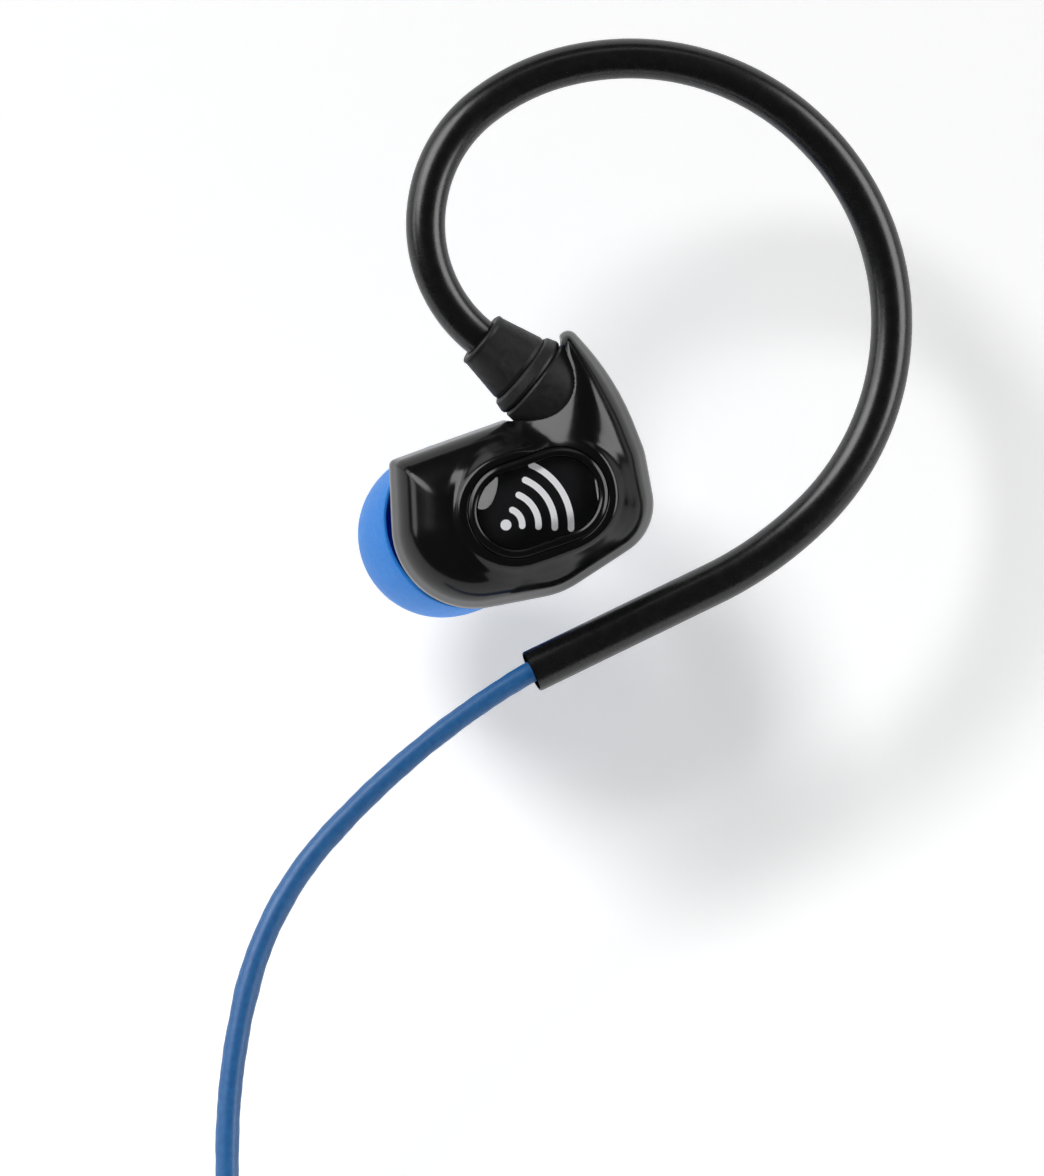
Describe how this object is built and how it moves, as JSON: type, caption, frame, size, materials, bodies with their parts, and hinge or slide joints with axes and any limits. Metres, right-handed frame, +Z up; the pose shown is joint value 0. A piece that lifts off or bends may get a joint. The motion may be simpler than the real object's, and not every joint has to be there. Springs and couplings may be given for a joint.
{
  "type": "over-ear sports earphone",
  "caption": "Left over-ear sports earphone: glossy capsule with angled nozzle and silicone tip, swivelling boot, flexible ear hook and cable start",
  "frame": {"origin": "centre of the ear tip's widest band, on the nozzle axis", "axes": "+Z up as worn, -Y out of the outer face away from the head, +Y into the ear, +X towards the back of the head"},
  "size_m": [0.0536, 0.0223, 0.0971],
  "materials": {
    "gloss_shell": "mirror-polished moulded ABS",
    "seal": "soft black sealing bead",
    "bezel": "polished moulded rim",
    "lens": "domed clear-black resin",
    "print": "silver-grey ink on black film",
    "mesh": "fine perforated steel",
    "foam": "open-cell damping foam",
    "tip_silicone": "satin translucent blue silicone",
    "driver_frame": "moulded nylon",
    "steel": "plated steel",
    "magnet": "nickel-plated neodymium",
    "copper": "enamelled copper",
    "film": "thin polymer film",
    "brass_ring": "turned brass ring",
    "board": "green circuit board",
    "solder": "bright solder",
    "membrane": "woven acoustic membrane",
    "cable_jacket": "satin blue elastomer jacket",
    "boot_rubber": "matt black moulded rubber",
    "hook_elastomer": "glossy black elastomer tube",
    "fibre": "twisted aramid fibre"
  },
  "bodies": {
    "capsule": {"front_shell": "gloss_shell", "back_shell": "gloss_shell", "shell_seal": "seal", "badge_bezel": "bezel", "badge_lens": "lens", "badge_print": "print", "nozzle_mesh": "mesh", "nozzle_damper": "foam", "driver_basket": "driver_frame", "driver_yoke": "steel", "driver_magnet": "magnet", "driver_top_plate": "steel", "diaphragm_ring": "brass_ring", "driver_cover": "mesh", "driver_terminal_board": "board", "solder_joints": "solder", "driver_gasket": "seal", "vent_membrane": "membrane", "lead_wires": "copper", "cable_crimp": "steel", "lead_in_cable": "cable_jacket", "socket_bush": "boot_rubber", "swivel_oring": "seal"},
    "tip": {"ear_tip": "tip_silicone"},
    "cone": {"driver_voice_coil": "copper", "driver_diaphragm": "film"},
    "hook_1": {"swivel_spindle": "driver_frame", "retaining_clip": "steel", "swivel_ring": "boot_rubber", "boot_sleeve": "boot_rubber", "hook_sleeve_1": "hook_elastomer", "hook_core_1": "cable_jacket"},
    "hook_2": {"hook_sleeve_2": "hook_elastomer", "hook_core_2": "cable_jacket"},
    "hook_3": {"hook_sleeve_3": "hook_elastomer", "hook_core_3": "cable_jacket"},
    "hook_4": {"hook_sleeve_4": "hook_elastomer", "hook_core_4": "cable_jacket"},
    "hook_5": {"hook_sleeve_5": "hook_elastomer", "hook_core_5": "cable_jacket"},
    "hook_6": {"hook_sleeve_6": "hook_elastomer", "hook_core_6": "cable_jacket"},
    "cable_1": {"cable_1": "cable_jacket"},
    "cable_2": {"cable_2": "cable_jacket"},
    "cable_3": {"cable_3": "cable_jacket"},
    "cable_4": {"cable_4": "cable_jacket", "conductor_pair": "copper", "fibre_cord": "fibre"}
  },
  "joints": [
    {"name": "tip_pull", "type": "slide", "parent": "capsule", "child": "tip", "axis": [-0.4116, 0.8908, -0.1925], "range_m": [0, 0.007], "stiffness_N_per_m": 5},
    {"name": "diaphragm_travel", "type": "slide", "parent": "capsule", "child": "cone", "axis": [0, 1, 0], "range_m": [-0.00015, 0.00015], "stiffness_N_per_m": 5},
    {"name": "hook_swivel", "type": "hinge", "parent": "capsule", "child": "hook_1", "pos_m": [0.00515, -0.0093, 0.01204], "axis": [0.78, 0.1219, -0.6138], "range_deg": [-30, 30], "stiffness_Nm_per_rad": 0.02},
    {"name": "hook_bend_1", "type": "hinge", "parent": "hook_1", "child": "hook_2", "pos_m": [-0.00208, -0.01059, 0.02532], "axis": [0.1387, -0.9901, -0.0204], "range_deg": [0, 6], "stiffness_Nm_per_rad": 0.02},
    {"name": "hook_bend_2", "type": "hinge", "parent": "hook_2", "child": "hook_3", "pos_m": [0.01168, -0.00888, 0.03598], "axis": [0.1387, -0.9901, -0.0204], "range_deg": [0, 6]},
    {"name": "hook_bend_3", "type": "hinge", "parent": "hook_3", "child": "hook_4", "pos_m": [0.02774, -0.00651, 0.03012], "axis": [0.1387, -0.9901, -0.0204], "range_deg": [0, 6]},
    {"name": "hook_bend_4", "type": "hinge", "parent": "hook_4", "child": "hook_5", "pos_m": [0.03357, -0.00536, 0.01392], "axis": [0.1387, -0.9901, -0.0204], "range_deg": [0, 6]},
    {"name": "hook_bend_5", "type": "hinge", "parent": "hook_5", "child": "hook_6", "pos_m": [0.02459, -0.0063, -0.00148], "axis": [0.1387, -0.9901, -0.0204], "range_deg": [0, 6]},
    {"name": "cable_bend_1", "type": "hinge", "parent": "hook_6", "child": "cable_1", "pos_m": [0.00578, -0.00873, -0.01119], "axis": [-0.129, 0.9916, 0], "range_deg": [-10, 10], "stiffness_Nm_per_rad": 0.002},
    {"name": "cable_bend_2", "type": "hinge", "parent": "cable_1", "child": "cable_2", "pos_m": [-0.0097, -0.01075, -0.02378], "axis": [-0.129, 0.9916, 0], "range_deg": [-10, 10]},
    {"name": "cable_bend_3", "type": "hinge", "parent": "cable_2", "child": "cable_3", "pos_m": [-0.01605, -0.01158, -0.0359], "axis": [-0.129, 0.9916, 0], "range_deg": [-10, 10]},
    {"name": "cable_bend_4", "type": "hinge", "parent": "cable_3", "child": "cable_4", "pos_m": [-0.0175, -0.01176, -0.04836], "axis": [-0.129, 0.9916, 0], "range_deg": [-10, 10]}
  ],
  "couplings": [
    {"joint": "hook_bend_2", "follows": "hook_bend_1", "ratio": 1},
    {"joint": "hook_bend_3", "follows": "hook_bend_1", "ratio": 1},
    {"joint": "hook_bend_4", "follows": "hook_bend_1", "ratio": 1},
    {"joint": "hook_bend_5", "follows": "hook_bend_1", "ratio": 1},
    {"joint": "cable_bend_2", "follows": "cable_bend_1", "ratio": 1},
    {"joint": "cable_bend_3", "follows": "cable_bend_1", "ratio": 1},
    {"joint": "cable_bend_4", "follows": "cable_bend_1", "ratio": 1}
  ]
}
